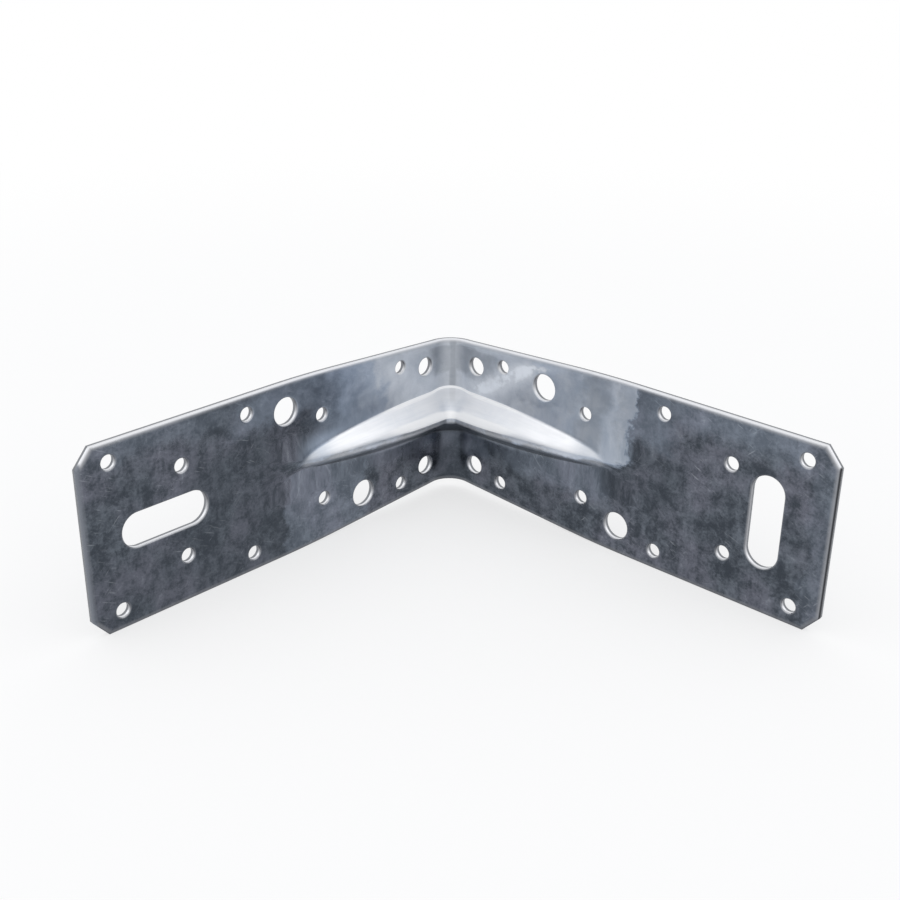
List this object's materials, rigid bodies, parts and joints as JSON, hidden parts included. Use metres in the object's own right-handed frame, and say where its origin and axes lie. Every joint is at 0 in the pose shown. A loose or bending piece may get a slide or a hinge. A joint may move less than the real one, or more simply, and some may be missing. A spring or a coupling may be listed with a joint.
{
  "type": "corner brace bracket",
  "caption": "Right-angle timber connector folded from galvanised steel sheet, with a pressed stiffening rib across the fold, punched nail and bolt holes and a slot in each leg.",
  "frame": {"origin": "outer corner, where the planes of the two outer faces meet, at the level of the lower edge", "axes": "+X along leg A, which has the slot along it; +Y along leg B, which has the slot across it; +Z parallel to the fold, up when the bracket stands on its lower edge"},
  "size_m": [0.164, 0.164, 0.065],
  "materials": {
    "galvanised_steel": "dull hot-dip zinc with soft spangle, bright where the press rubbed it"
  },
  "bodies": {
    "root": {"angle_bracket": "galvanised_steel"}
  },
  "joints": []
}
